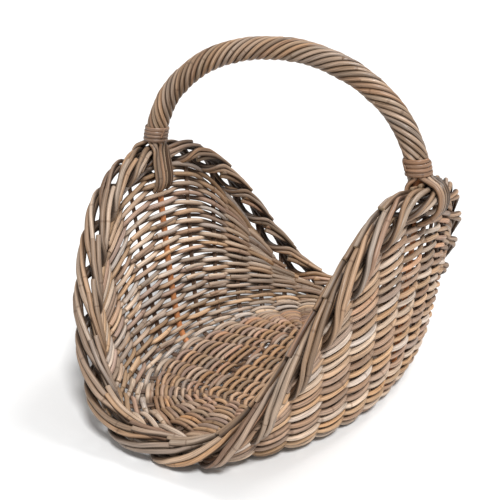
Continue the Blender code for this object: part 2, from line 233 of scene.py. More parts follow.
def rim_at_angle(angle):
    point = oval(angle, RIM_HALF_WIDTH, RIM_HALF_LENGTH, RIM_SQUARENESS)
    dip = np.abs(np.cos(angle)) ** RIM_DIP
    point[..., 2] = RIM_END_HEIGHT + (RIM_SIDE_HEIGHT - RIM_END_HEIGHT) * dip
    return point


def base_at_angle(angle):
    point = oval(angle, BASE_HALF_WIDTH, BASE_HALF_LENGTH, BASE_SQUARENESS)
    point[..., 2] = BASE_LEVEL
    return point


class EvenLoop:
    """A closed curve that is read by the fraction of its length, measured in plan or in space."""

    def __init__(self, curve, in_plan):
        self.curve = curve
        self.angles = np.linspace(0, TAU, 1441)
        points = curve(self.angles)
        if in_plan:
            points[:, 2] = 0
        self.lengths = path_lengths(points)
        self.total = self.lengths[-1]

    def angle(self, fraction):
        return np.interp(np.mod(fraction, 1) * self.total, self.lengths, self.angles)

    def at(self, fraction):
        return self.curve(self.angle(fraction))

    def fraction(self, angle):
        return np.interp(angle, self.angles, self.lengths) / self.total


RIM_IN_PLAN = EvenLoop(rim_at_angle, True)
RIM_IN_SPACE = EvenLoop(rim_at_angle, False)
BASE_IN_PLAN = EvenLoop(base_at_angle, True)
LAST_CROSS = BASE_IN_PLAN.at(np.array([CROSS_EACH_WAY / STAKES]))[0][1]


def side_share(rim_point):
    """From 0 at the low ends to 1 at the middle of the high sides."""
    return (np.abs(rim_point[..., 0]) / RIM_HALF_WIDTH) ** (RIM_SQUARENESS / 2)


def wall_lines(fractions):
    """Points up the wall's profile at each fraction, and the height along it at each."""
    start = BASE_IN_PLAN.at(fractions)
    end = RIM_IN_PLAN.at(fractions)
    out = end - start
    out[:, 2] = 0
    lean = (END_LEAN + (SIDE_LEAN - END_LEAN) * side_share(end))[:, None]
    heel = start + out * HEEL_REACH
    shoulder = end - out * lean
    shoulder[:, 2] = start[:, 2] + (end[:, 2] - start[:, 2]) * LEAN_HEIGHT
    t = np.linspace(0, 1, 65)
    basis = np.stack([(1 - t) ** 3, 3 * (1 - t) ** 2 * t, 3 * (1 - t) * t**2, t**3])
    points = np.einsum("kt,nkc->ntc", basis, np.stack([start, heel, shoulder, end], axis=1))
    steps = np.linalg.norm(np.diff(points, axis=1), axis=2)
    heights = np.concatenate([np.zeros((len(points), 1)), np.cumsum(steps, axis=1)], axis=1)
    return points, heights


def wall_length(fractions):
    return wall_lines(np.atleast_1d(fractions))[1][:, -1]


SIDE_LENGTH = wall_length(0.0)[0]


def on_wall(fractions, heights):
    points, marks = wall_lines(fractions)
    rows = np.arange(len(points))
    i = np.clip((marks < heights[:, None]).sum(axis=1) - 1, 0, marks.shape[1] - 2)
    share = (heights - marks[rows, i]) / (marks[rows, i + 1] - marks[rows, i])
    return points[rows, i] + share[:, None] * (points[rows, i + 1] - points[rows, i])


def wall_frame(fractions, heights):
    """Points on the wall and its outward normals there."""
    fractions, heights = np.broadcast_arrays(np.atleast_1d(fractions), np.atleast_1d(heights))
    across = on_wall(fractions + NEARBY, heights) - on_wall(fractions - NEARBY, heights)
    up = on_wall(fractions, heights + NEARBY) - on_wall(fractions, heights - NEARBY)
    return on_wall(fractions, heights), unit(np.cross(across, up))


def rim_fraction(stakes):
    """Where stakes meet the rim: even along it in space, so closer in plan where it is steep."""
    shares = np.asarray(stakes) / STAKES
    return RIM_IN_PLAN.fraction(RIM_IN_SPACE.angle(shares)) + np.floor(shares)


def at_stakes(stakes, heights):
    """Points and normals of the wall at these stakes, which leave the base evenly and fan out."""
    stakes = np.atleast_1d(np.asarray(stakes, float))
    stakes, heights = np.broadcast_arrays(stakes, np.atleast_1d(heights))
    high = rim_fraction(stakes)
    low = stakes / STAKES
    share = np.clip(heights / (wall_length(high) - WEAVE_CLEARANCE), 0, 1)
    return wall_frame(low + (high - low) * share, heights)


def through(keys, values, x, ease=0.12):
    """A smooth curve through these keys: straight between them, with each corner eased."""
    total = np.zeros(np.shape(x))
    offsets = np.linspace(-1, 1, 9)
    weights = 1 - offsets**2 * 0.9
    for offset, weight in zip(offsets, weights):
        total += weight * np.interp(np.asarray(x) + offset * ease, keys, values)
    return total / weights.sum()


def resampled(points, spacing):
    """Points evenly spaced along a line of points, on a Catmull-Rom curve through them."""
    points = np.asarray(points, float)
    ends = np.concatenate([[2 * points[0] - points[1]], points, [2 * points[-1] - points[-2]]])
    t = np.linspace(0, 1, 12, endpoint=False)[:, None]
    pieces = []
    for a, b, c, d in zip(ends, ends[1:], ends[2:], ends[3:]):
        square = (2 * a - 5 * b + 4 * c - d) * t**2
        pieces.append(0.5 * (2 * b + (c - a) * t + square + (3 * b - a - 3 * c + d) * t**3))
    fine = np.concatenate([*pieces, points[-1:]])
    lengths = path_lengths(fine)
    count = max(4, int(round(lengths[-1] / spacing)) + 1)
    return read_table(np.linspace(0, lengths[-1], count), lengths, fine)


def wobble(x, size, waves=3, slowest=0.35):
    """A smooth random wander of about this size."""
    total = np.zeros(np.shape(x))
    for i in range(waves):
        total += np.sin(np.asarray(x) * slowest * (1.7**i) * TAU + RNG.uniform(0, TAU)) / (1 + i)
    return total * size / 1.4


# -------- canes


def tint_of(colour, spread):
    """This colour, a little lighter or darker, warmer or cooler."""
    light = 1 + RNG.normal(0, spread)
    warm = RNG.normal(0, 0.045)
    tint = np.array(colour) * np.clip(light, 0.62, 1.4) * np.array([1 + warm, 1, 1 - warm * 1.4])
    return np.clip(tint, 0.01, 0.9)


def roll_tint(main, others, spread):
    """A colour for a cane of the border or the handle."""
    return tint_of(main if RNG.random() < 0.55 else others[RNG.integers(len(others))], spread)


def weave_tint(main):
    pick = main if RNG.random() < 0.6 else RNG.integers(len(WEAVE_COLOURS))
    return tint_of(WEAVE_COLOURS[pick], 0.16) * WEAVE_TONE


def base_tint():
    return tint_of(BASE_COLOURS[RNG.integers(len(BASE_COLOURS))], 0.14) * BASE_TONE


def painted_shade_of(outward, size, painted_shade_cosines, depth, reach):
    """Painted shade on a cane: the share of its colour kept, from the darkest to 1 on its lit side."""
    lit_share, darkest = np.ones(outward.shape), CREVICE_PAINTED_SHADE
    if painted_shade_cosines is not None:
        lit_share = np.clip((outward - painted_shade_cosines[0]) / (painted_shade_cosines[1] - painted_shade_cosines[0]), 0, 1)
    if depth is not None:
        distance = np.abs(pad_ends(depth)[:, None] + outward * size[:, None]) / reach
        lit_share = np.clip((distance - PAINTED_SHADE_FROM) / PAINTED_SHADE_OVER, 0, 1)
        darkest = WEAVE_PAINTED_SHADE
    return darkest + (1 - darkest) * (lit_share**2 * (3 - 2 * lit_share))


def add_object(name, data):
    made = bpy.data.objects.new(name, data)
    bpy.context.scene.collection.objects.link(made)
    return made


class Piece:
    """One object made of canes."""

    def __init__(self, name, material, slot, nodes, sides=10):
        self.name = name
        self.material = material
        self.slot = slot
        self.nodes = nodes
        self.sides = sides
        self.points, self.loops, self.starts = [], [], []
        self.tint, self.grain, self.phase, self.cut = [], [], [], []
        self.count, self.loop_count = 0, 0

    def cane(self, line, radius, away, colour, thin=1.0, joint=0.16,
             painted_shade_cosines=None, depth=None, reach=None):
        """A cane along this line. thin squashes it along away, and its nodes are a joint apart.

        Its hidden side gets painted shade, standing in for shadow. Given two cosines to away, the shade
        lifts between them. With a depth, the line's distance along away from the middle of the weave,
        the side towards that middle gets painted shade, and reach is half the weave's thickness.
        """
        line = np.asarray(line, float)
        sides = self.sides
        tangent = unit(np.gradient(line, axis=0))
        away = np.broadcast_to(away, line.shape)
        normal = square_to(tangent, away)
        binormal = np.cross(tangent, normal)
        along = path_lengths(line)
        first = RNG.uniform(0, 1)
        phase = along / joint + first
        knot = bell((phase - np.round(phase)) * joint / KNOT_LENGTH)
        size = radius * (1 + KNOT_SWELL * knot + wobble(along / SIZE_WANDER_LENGTH, SIZE_WANDER))

        # Each end is closed with a small chamfer and a flat face.
        normal, binormal = pad_ends(normal), pad_ends(binormal)
        line, size, along = pad_ends(line), pad_ends(size), pad_ends(along)
        line[0] -= tangent[0] * CHAMFER_LENGTH
        line[-1] += tangent[-1] * CHAMFER_LENGTH
        size[[0, -1]] *= CHAMFER_SIZE
        n = len(line)
        angle = np.arange(sides) * TAU / sides + RNG.uniform(0, TAU)
        cos, sin = np.cos(angle), np.sin(angle)
        ring = normal[:, None] * (cos * thin)[:, None] + binormal[:, None] * sin[:, None]
        verts = line[:, None] + ring * size[:, None, None]
        near = np.arange((n - 1) * sides).reshape(-1, sides)
        far = np.roll(near, -1, axis=1)
        self.add_faces(np.stack([near, far, far + sides, near + sides], axis=-1).reshape(-1, 4))
        self.add_faces(np.stack([near[0, ::-1], near[-1] + sides]))

        seed = RNG.uniform(0, 40, 3)
        grain = np.empty((n, sides, 3))
        grain[..., 0] = cos * radius
        grain[..., 1] = sin * radius
        grain[..., 2] = along[:, None]
        # Painted shade on the sides that face into crevices and grooves, multiplied into the tint.
        painted_shade_share = painted_shade_of(np.broadcast_to(cos, (n, sides)), size, painted_shade_cosines, depth, reach)
        fade = 1 + wobble(along / FADE_WANDER_LENGTH, FADE_WANDER)[:, None]
        tint = np.asarray(colour) * painted_shade_share[..., None] ** PAINTED_SHADE_POWERS * fade[..., None]
        cut = np.zeros((n, sides))
        cut[[0, -1]] = 1
        self.points.append(verts.reshape(-1, 3))
        self.tint.append(np.clip(tint, 0, 1).reshape(-1, 3))
        self.grain.append(grain.reshape(-1, 3) + seed)
        self.phase.append(np.repeat(along / joint + first, sides))
        self.cut.append(cut.reshape(-1))
        self.count += n * sides

    def add_faces(self, faces):
        size = faces.shape[1]
        self.loops.append((faces + self.count).reshape(-1))
        self.starts.append(self.loop_count + np.arange(len(faces)) * size)
        self.loop_count += faces.size

    def make(self):
        mesh = bpy.data.meshes.new(self.name)
        for items, key, values in (
            (mesh.vertices, "co", np.concatenate(self.points).astype(np.float32)),
            (mesh.loops, "vertex_index", np.concatenate(self.loops).astype(np.int32)),
            (mesh.polygons, "loop_start", np.concatenate(self.starts).astype(np.int32)),
        ):
            items.add(len(values))
            items.foreach_set(key, values.ravel())
        tint = np.concatenate(self.tint)
        for name, kind, key, values in (
            ("tint", "FLOAT_COLOR", "color", np.insert(tint, 3, 1, axis=1)),
            ("grain", "FLOAT_VECTOR", "vector", np.concatenate(self.grain)),
            ("phase", "FLOAT", "value", np.concatenate(self.phase)),
            ("cut", "FLOAT", "value", np.concatenate(self.cut)),
        ):
            attribute = mesh.attributes.new(name, kind, "POINT")
            attribute.data.foreach_set(key, values.astype(np.float32).ravel())
        mesh.update(calc_edges=True)
        mesh.validate()
        mesh.polygons.foreach_set("use_smooth", np.ones(len(mesh.polygons), bool))
        mesh.materials.append(self.material)
        made = add_object(self.name, mesh)
        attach(made, "root")
        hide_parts(*self.nodes)


# -------- materials


def new_material(name):
    material = bpy.data.materials.new(name)
    material.use_nodes = True
    return material, material.node_tree, material.node_tree.nodes["Principled BSDF"]


def add_node(tree, kind, after=None, **settings):
    """A new node, laid out to the right of the one whose output it reads."""
    node = tree.nodes.new(kind)
    node.location = (0, -NODE_ROW * len(tree.nodes))
    if after is not None:
        x, y = after.node.location
        node.location = (x + NODE_COLUMN, y - NODE_ROW * len(after.links))
    for key, value in settings.items():
        setattr(node, key, value)
    return node


def maths(tree, operation, a, b=None):
    node = add_node(tree, "ShaderNodeMath", a, operation=operation)
    for socket, value in zip(node.inputs, (a, b)):
        if isinstance(value, (int, float)):
            socket.default_value = value
        elif value is not None:
            tree.links.new(value, socket)
    return node.outputs[0]


def noise_along(tree, grain, scale, detail, roughness=0.55):
    """Noise in a cane's own coordinates."""
    stretch = add_node(tree, "ShaderNodeVectorMath", grain, operation="MULTIPLY")
    tree.links.new(grain, stretch.inputs[0])
    stretch.inputs[1].default_value = scale
    noise = add_node(tree, "ShaderNodeTexNoise", stretch.outputs[0])
    noise.inputs["Scale"].default_value = 1
    noise.inputs["Detail"].default_value = detail
    noise.inputs["Roughness"].default_value = roughness
    tree.links.new(stretch.outputs[0], noise.inputs["Vector"])
    return noise.outputs["Fac"]


def ramp(tree, value, low, high, out_low, out_high):
    node = add_node(tree, "ShaderNodeMapRange", value, clamp=True)
    node.interpolation_type = "SMOOTHSTEP"
    bounds = {"From Min": low, "From Max": high, "To Min": out_low, "To Max": out_high}
    for name, number in bounds.items():
        node.inputs[name].default_value = number
    tree.links.new(value, node.inputs["Value"])
    return node.outputs["Result"]


def mix(tree, share, a, b, blend="MIX"):
    after = share if isinstance(a, tuple) else a
    node = add_node(tree, "ShaderNodeMix", after, data_type="RGBA", blend_type=blend)
    for socket, value in ((node.inputs[0], share), (node.inputs[6], a), (node.inputs[7], b)):
        if isinstance(value, (int, float)):
            socket.default_value = value
        elif isinstance(value, tuple):
            socket.default_value = (*value, 1)
        else:
            tree.links.new(value, socket)
    return node.outputs[2]


def times(tree, a, b):
    return mix(tree, 1.0, a, b, "MULTIPLY")


def attribute_of(tree, name, output):
    return add_node(tree, "ShaderNodeAttribute", attribute_name=name).outputs[output]


def cane_material(name, roughness=0.62, streak=0.55, weather=0.5, ring=0.55, bump=0.35):
    """Natural cane: streaks along it, weathered grey patches, dark rings at its nodes, cut ends."""
    material, tree, shader = new_material(name)
    # The tint holds each cane's colour together with its painted shade.
    tint = attribute_of(tree, "tint", "Color")
    grain = attribute_of(tree, "grain", "Vector")
    phase = attribute_of(tree, "phase", "Fac")
    cut = attribute_of(tree, "cut", "Fac")

    streaks = noise_along(tree, grain, STREAK_SCALE, 5, 0.6)
    patches = noise_along(tree, grain, PATCH_SCALE, 4, 0.6)
    drift = noise_along(tree, grain, DRIFT_SCALE, 2)
    pores = noise_along(tree, grain, PORE_SCALE, 3, 0.5)

    share = ramp(tree, drift, 0.35, 0.68, 0, 0.55)
    warm = times(tree, tint, WARM)
    colour = mix(tree, share, tint, warm)
    grey = times(tree, tint, WEATHERED)
    share = ramp(tree, patches, 0.48, 0.72, 0, weather)
    colour = mix(tree, share, colour, grey)
    shade = ramp(tree, streaks, 0.30, 0.66, 1 - streak, 1.14)
    colour = times(tree, colour, shade)
    spots = ramp(tree, patches, 0.22, 0.40, 0.55, 1.0)
    colour = times(tree, colour, spots)

    # phase is a whole number at each of the cane's nodes.
    moved = maths(tree, "ADD", phase, 0.5)
    turned = maths(tree, "FRACT", moved)
    offset = maths(tree, "SUBTRACT", turned, 0.5)
    distance = maths(tree, "ABSOLUTE", offset)
    at_node = ramp(tree, distance, *NODE_RING, 1, 0)
    darker = times(tree, colour, NODE_DARK)
    share = maths(tree, "MULTIPLY", at_node, ring)
    colour = mix(tree, share, colour, darker)
    share = ramp(tree, pores, 0.35, 0.65, 0, 1)
    pith = mix(tree, share, PITH_PALE, PITH_DARK)
    share = ramp(tree, cut, 0.55, 0.95, 0, 0.8)
    colour = mix(tree, share, colour, pith)
    tree.links.new(colour, shader.inputs["Base Color"])

    rough = ramp(tree, patches, 0.3, 0.7, roughness - 0.12, roughness + 0.16)
    tree.links.new(rough, shader.inputs["Roughness"])
    coarse = maths(tree, "MULTIPLY", streaks, 0.8)
    fine = maths(tree, "MULTIPLY", pores, 0.35)
    height = maths(tree, "ADD", coarse, fine)
    hollow = maths(tree, "MULTIPLY", at_node, 0.5)
    height = maths(tree, "SUBTRACT", height, hollow)
    bumped = add_node(tree, "ShaderNodeBump", height)
    bumped.inputs["Strength"].default_value = bump
    bumped.inputs["Distance"].default_value = BUMP_DISTANCE
    tree.links.new(height, bumped.inputs["Height"])
    tree.links.new(bumped.outputs[0], shader.inputs["Normal"])
    shader.inputs["Specular IOR Level"].default_value = CANE_GLOSS
    shader.location = (bumped.location[0] + NODE_COLUMN, 0)
    tree.nodes["Material Output"].location = (shader.location[0] + 2 * NODE_COLUMN, 0)
    return material


WEAVE_LOOK = cane_material("weaving_cane_look")
BORDER_LOOK = cane_material("border_cane_look", roughness=0.50, streak=0.5, bump=0.4)
HANDLE_LOOK = cane_material("handle_cane_look", roughness=0.38, streak=0.6, weather=0.6, bump=0.35)
STAKE_LOOK = cane_material("stake_cane_look", roughness=0.7, streak=0.6, weather=0.25, ring=0.3)
ROD_LOOK = cane_material("bow_rod_look", roughness=0.5, streak=0.4, weather=0.1, ring=0.3, bump=0.25)


# -------- stakes


def stake_heights(stake):
    top = wall_length(rim_fraction(stake))[0] - STAKE_BELOW_RIM
    return np.linspace(0, top, max(6, int(top / 0.005)))


def fan_start(edge, way):
    """Where the stake that leaves the base's edge here, at a low end, starts."""
    return np.array([edge[0] * END_FAN, way * (LAST_CROSS + FAN_GAP), edge[2]])


def stake_paths():
    """Each pair of stakes: its CAD node's name, its middle line, and the outward direction there."""
    paths = []
    for number in range(-CROSS_EACH_WAY, CROSS_EACH_WAY + 1):
        right, left = number / STAKES, 0.5 - number / STAKES
        start, end = BASE_IN_PLAN.at(np.array([right, left]))
        across = start + (end - start) * np.linspace(0, 1, 30)[:, None]
        flat = np.tile(DOWNWARD, (len(across), 1))
        if number == 0:
            paths.append(("base_middle_stick", across, flat))
            continue
        node = f"cross_rib_{number + CROSS_EACH_WAY + (number < 0):02d}"
        heights = stake_heights(number)
        up_right = at_stakes(number, heights)
        up_left = at_stakes(STAKES / 2 - number, heights)
        line = np.concatenate([up_right[0][::-1], across[1:-1], up_left[0]])
        away = np.concatenate([up_right[1][::-1], flat[1:-1], up_left[1]])
        paths.append((node, line, away))
    for end, way in (("front", -1), ("back", 1)):
        for i, number in enumerate(range(CROSS_EACH_WAY + 1, STAKES // 2 - CROSS_EACH_WAY)):
            edge = BASE_IN_PLAN.at(np.array([way * number / STAKES]))[0]
            start = fan_start(edge, way)
            inward = start + (edge - start) * np.linspace(0, 1, 16)[:-1, None]
            rise = at_stakes(way * number, stake_heights(way * number))
            line = np.concatenate([inward, rise[0]])
            away = np.concatenate([np.tile(DOWNWARD, (len(inward), 1)), rise[1]])
            paths.append((f"{end}_rib_{i + 1}", line, away))
    return paths


def make_stakes():
    for node, line, away in stake_paths():
        piece = Piece(f"stakes_{node}", STAKE_LOOK, "rib_cane", [node], sides=8)
        side = beside(line, away)
        for way in (-1, 1):
            wander = wobble(np.linspace(0, 4, len(line)), 0.0004)[:, None]
            moved = line + side * (STAKE_PAIR * way) + away * wander
            # A stake's colour is partly its own weathered brown and partly painted shade.
            colour = tint_of(DARK_AND_SHADED if RNG.random() < DARK_STAKES else BROWN_AND_SHADED, 0.2)
            piece.cane(moved, STAKE, away, colour, joint=0.19)
        piece.make()


# -------- woven rows of the wall


def swing(stake_number, parity):
    """From -1 inside the stakes to 1 outside them."""
    wave = np.cos(np.pi * (stake_number + parity))
    return np.tanh(1.2 * wave) / np.tanh(1.2)


def joins(low, high, parity, shortest, longest):
    """Stakes to end one cane and start the next at, where the row passes inside."""
    found, at = [], low
    while True:
        at += RNG.uniform(shortest, longest)
        stake = 2 * round((at + parity - 1) / 2) - parity + 1
        if stake > high - shortest * 0.5:
            return found
        found.append(stake)


def loop_parts(start, parity, shortest, longest):
    """The first and last stake of each cane of a row that goes all the way round."""
    end = start + STAKES
    stops = [start, *joins(start, end, parity, shortest, longest), end]
    return zip(stops, stops[1:])


def batches(count):
    """A main colour for each row. Neighbouring rows often come from one batch of canes."""
    mains = []
    while len(mains) < count:
        main = RNG.integers(len(WEAVE_COLOURS))
        mains += [main] * RNG.integers(2, 6)
    return mains[:count]


def row_pitch(fractions):
    rim = RIM_IN_PLAN.at(fractions)
    side = np.where(rim[..., 0] > 0, RIGHT_ROW_PITCH, LEFT_ROW_PITCH)
    return END_ROW_PITCH + (side - END_ROW_PITCH) * side_share(rim) ** 2


def sag_of(number, stakes):
    """The rim's share of its side height, the power of it that a row takes, and that power's growth."""
    fractions = rim_fraction(stakes)
    rim = RIM_IN_PLAN.at(fractions)
    share = wall_length(fractions) / SIDE_LENGTH
    right = rim[..., 0] > 0
    pitch = np.where(right, RIGHT_ROW_PITCH, LEFT_ROW_PITCH)
    left_sag = np.where(rim[..., 1] > 0, SAG_LEFT_BACK, SAG_LEFT_FRONT)
    strength = np.where(right, SAG_RIGHT, left_sag)
    height = (number + 0.5) * pitch / SIDE_LENGTH
    power = strength * SAG_GROWTH * np.maximum(height - SAG_FROM, 0)
    return share, power, strength * SAG_GROWTH * height


def straight_height(number, stakes):
    """How high a row passes before the border bends it."""
    share, power, _ = sag_of(number, stakes)
    return (number + 0.5) * row_pitch(rim_fraction(stakes)) * share**power


def room_over_row(number, stakes):
    return wall_length(rim_fraction(stakes)) - ROW_CEILING - straight_height(number, stakes)


def crowding(number, stakes):
    """The distance between a row and the next one, as a share of that at the middle of the side."""
    share, power, growth = sag_of(number, stakes)
    return share**power * (1 + growth * np.log(share))


def row_line(number, stakes, lift, sink):
    """A row's line at these stake numbers, with the wall's normals and its distance along them.

    Near the border it bends to run along below it.
    """
    slope = np.sin(4 * np.pi * np.asarray(stakes) / STAKES) ** 2
    ease = EASE_AT_SIDES + (EASE_ON_SLOPES - EASE_AT_SIDES) * slope
    ceiling = wall_length(rim_fraction(stakes)) - ROW_CEILING
    heights = ceiling - np.logaddexp(0, room_over_row(number, stakes) / ease) * ease
    heights = np.maximum(heights + lift + wobble(stakes, 0.0009), LOWEST_HEIGHT)
    packed = np.clip(1 - crowding(number, stakes) / PACKED_BELOW, 0, 1)
    right = 0.5 + 0.5 * np.cos(TAU * stakes / STAKES)
    reach = SWING_LEFT + (SWING_RIGHT - SWING_LEFT) * right
    depth = reach * swing(stakes, number) - sink + wobble(stakes, 0.0006)
    depth = depth - packed * (number % 3) * PACKED_STEP
    points, normals = at_stakes(stakes, heights)
    points = points + normals * depth[:, None]
    points[:, 2] = np.maximum(points[:, 2], LOWEST_LEVEL)
    return points, normals, depth


def weave_cane(piece, number, low, high, colour, starts=True, ends=True):
    """One cane of a row. Where it starts or ends at a join it lies beside its neighbour, inside."""
    count = max(6, int((high - low) * 12))
    stakes = np.linspace(low, high, count)
    lift, sink = np.zeros(count), np.zeros(count)
    joined = ((starts, stakes - low, -1, 0.4), (ends, high - stakes, 1, 1.3))
    for wanted, distance, way, inward in joined:
        shift = JOIN_SHIFT * wanted * bell(distance / JOIN_LENGTH)
        lift += way * shift
        sink += shift * inward
    line, normals, depth = row_line(number, stakes, lift, sink)
    radius = WEAVER * RNG.uniform(0.86, 1.10)
    piece.cane(line, radius, normals, colour, joint=RNG.uniform(0.09, 0.17),
               depth=depth, reach=SWING_LEFT + WEAVER)


def make_full_rows():
    mains = batches(FULL_ROWS)
    for number in range(FULL_ROWS):
        node = "upsett_band" if number < ROWS_IN_BAND else "round_band_2"
        piece = Piece(f"weave_round_{number + 1:02d}", WEAVE_LOOK, "weaving_cane", [node])
        start = 2 * RNG.integers(STAKES // 2) + 1 - number % 2
        for low, high in loop_parts(start, number, 6, 12):
            colour = weave_tint(mains[number])
            weave_cane(piece, number, low - OVERLAP_BEFORE, high + OVERLAP_AFTER, colour)
        piece.make()


def row_reach(number, middle, way, beyond, closest):
    """How many stakes a row goes this way from the middle of its side.

    It ends where it would be this far beyond the border, or this close to its neighbours.
    """
    out = np.linspace(0, STAKES / 4, 300)
    stakes = middle + way * out
    stop = (room_over_row(number, stakes) < -beyond) | (crowding(number, stakes) < closest)
    return out[np.argmax(stop)] if stop.any() else out[-1]


def make_side_rows():
    for side, middle, pitch, crowd in SIDES:
        rows = int((SIDE_LENGTH - TOP_ROW_MARGIN) / pitch)
        in_band = (rows - FULL_ROWS) / SIDE_BANDS
        mains = batches(rows)
        for number in range(FULL_ROWS, rows):
            band = min(SIDE_BANDS, int((number - FULL_ROWS) / in_band) + 1)
            name = f"weave_{side}_{number + 1:02d}"
            piece = Piece(name, WEAVE_LOOK, "weaving_cane", [f"{side}_band_{band}"])
            beyond = EASE_ON_SLOPES * RNG.uniform(0.6, 2.2, 2)
            closest = RNG.uniform(0.15, 0.55, 2) * crowd
            low = middle - row_reach(number, middle, -1, beyond[0], closest[0])
            high = middle + row_reach(number, middle, 1, beyond[1], closest[1])
            stops = [low, *joins(low, high, number, 4, 10), high]
            last = len(stops) - 2
            for i, (a, b) in enumerate(zip(stops, stops[1:])):
                from_join, to_join = i > 0, i < last
                a, b = a - OVERLAP_BEFORE * from_join, b + OVERLAP_AFTER * to_join
                weave_cane(piece, number, a, b, weave_tint(mains[number]), from_join, to_join)
            piece.make()


# -------- woven base


def ring_shape(share):
    """A base ring's half width, half length and squareness, from the woven centre to the edge."""
    square = BASE_SQUARENESS + 6 * (1 - share) ** 2
    inner_width = CENTRE_HALF_WIDTH + RING_SIDE_GAP
    inner_length = LAST_CROSS + RING_END_GAP
    width = inner_width + (BASE_HALF_WIDTH - CENTRE_HALF_WIDTH - RING_SIDE_GAP) * share
    return width, inner_length + (BASE_HALF_LENGTH - inner_length) * share, square


def ring_line(share):
    """A closed ring of the base: its points, and the stake number at each, from 0 to STAKES."""
    angle = np.linspace(0, TAU, 900)
    line = oval(angle, *ring_shape(share))
    line[:, 2] = BASE_LEVEL
    crossings, half = [0.0], STAKES // 2
    for k in range(1, STAKES):
        near = BASE_IN_PLAN.at(np.array([k / STAKES]))[0]
        if min(k % half, half - k % half) <= CROSS_EACH_WAY:
            value = line[:, 1] - near[1]
            right_part = np.sign(line[:, 0]) == np.sign(near[0])
        else:
            start = fan_start(near, np.sign(near[1]))
            way = (near - start)[:2]
            value = (line[:, 0] - start[0]) * way[1] - (line[:, 1] - start[1]) * way[0]
            right_part = line[:, 1] * np.sign(near[1]) > LAST_CROSS * 0.8
        change = np.where((value[:-1] * value[1:] <= 0) & right_part[:-1])[0]
        crossing = TAU * k / STAKES
        if len(change):
            crossing = angle[change[np.argmin(np.abs(angle[change] - crossing))]]
        crossings.append(crossing)
    crossings = np.maximum.accumulate(np.array(crossings + [TAU]))
    crossings += np.arange(len(crossings)) * 1e-6
    return line, np.interp(angle, crossings, np.arange(STAKES + 1.0))


def even_part(line, stakes, low, high, spacing=0.0036):
    """The part of a ring between two stake numbers, evenly spaced, and the number at each point."""
    twice = np.concatenate([stakes[:-1], stakes + STAKES, (stakes + 2 * STAKES)[1:]])
    places = np.concatenate([line[:-1], line, line[1:]])
    steps = path_lengths(places)
    a, b = np.interp([low, high], twice, steps)
    wanted = np.linspace(a, b, max(6, int((b - a) / spacing)))
    return read_table(wanted, steps, places), np.interp(wanted, steps, twice)


def base_cane(piece, line, radius, away):
    piece.cane(line, radius, away, base_tint(), joint=RNG.uniform(0.08, 0.15),
               depth=line[:, 2] - BASE_LEVEL, reach=BASE_SWING + BASE_WEAVER)


def make_base_rings():
    for number in range(BASE_RINGS):
        piece = Piece(f"base_ring_{number + 1:02d}", WEAVE_LOOK, "weaving_cane", ["base_weave"])
        line, stakes = ring_line((number + RING_START) / BASE_RINGS)
        for low, high in loop_parts(RNG.uniform(0, STAKES), number, 6, 14):
            part, at = even_part(line, stakes, low, high + RING_OVERLAP)
            part[:, 2] += BASE_SWING * swing(at, number + 1) + wobble(at, 0.0001)
            part[:, :2] += (beside(part, UPWARD) * wobble(at, 0.0008)[:, None])[:, :2]
            base_cane(piece, part, BASE_WEAVER * RNG.uniform(0.88, 1.08), UPWARD)
        piece.make()


def make_base_centre():
    """Lengthwise rows over and under the cross stakes, each turning back round the last one."""
    piece = Piece("base_centre_weave", WEAVE_LOOK, "weaving_cane", ["base_weave"])
    pitch = 2 * CENTRE_HALF_WIDTH / (CENTRE_ROWS - 1)
    numbers = np.arange(-CROSS_EACH_WAY, CROSS_EACH_WAY + 1)
    stick_y = BASE_IN_PLAN.at(numbers / STAKES)[:, 1]
    y = np.linspace(stick_y[0], stick_y[-1], 64)
    turn = np.linspace(0, np.pi, 9)[1:-1]
    lines, line = [], []
    for row in range(CENTRE_ROWS):
        depth = BASE_SWING * swing(np.interp(y, stick_y, numbers), row)
        x = -CENTRE_HALF_WIDTH + pitch * row + wobble(y / 0.05, 0.0003)
        way = -1 if row % 2 else 1
        run = np.stack([x, y, BASE_LEVEL + depth], axis=-1)[::way]
        line.append(run)
        if row == CENTRE_ROWS - 1:
            break
        # Round the last stake: from above it to below it, one pitch along, or the other way.
        end_x, end_y, end_z = run[-1]
        turn_x = end_x + pitch * (turn / np.pi)
        turn_y = end_y + way * CENTRE_TURN * np.sin(turn)
        turn_z = BASE_LEVEL + (end_z - BASE_LEVEL) * np.cos(turn)
        line.append(np.stack([turn_x, turn_y, turn_z], axis=-1))
        if RNG.random() < 0.35:
            lines.append(np.concatenate(line))
            line = []
    lines.append(np.concatenate(line))
    for path in lines:
        sideways = np.cross(np.gradient(path, axis=0), [1.0, 0, 0])
        up = sideways * np.sign(sideways[:, 2:] + 1e-9)
        base_cane(piece, path, BASE_WEAVER * 1.02, up)
    piece.make()


# -------- border


class BorderFrame:
    """The rim's middle line in space, with the wall's outward and upward directions along it."""

    def __init__(self):
        self.shares = np.linspace(0, 1, 721)
        angle = RIM_IN_SPACE.angle(self.shares)
        angle[-1] = TAU
        centre = rim_at_angle(angle)
        along = unit(RIM_IN_SPACE.at(self.shares + NEARBY) - RIM_IN_SPACE.at(self.shares - NEARBY))
        fractions = RIM_IN_PLAN.fraction(angle)
        heights = wall_length(fractions) - 2 * NEARBY
        out = wall_frame(fractions, heights)[1]
        out = square_to(along, out)
        bulge = HANDLE_BULGE * bell(centre[:, 1] / HANDLE_BULGE_LENGTH)
        self.centre = centre + out * bulge[:, None]
        self.out = out
        self.up = np.cross(out, along)

    def at(self, share):
        share = np.mod(share, 1)
        tables = (self.centre, self.out, self.up)
        centre, out, up = [read_table(share, self.shares, table) for table in tables]
        return centre, unit(out), unit(up)


BORDER = BorderFrame()


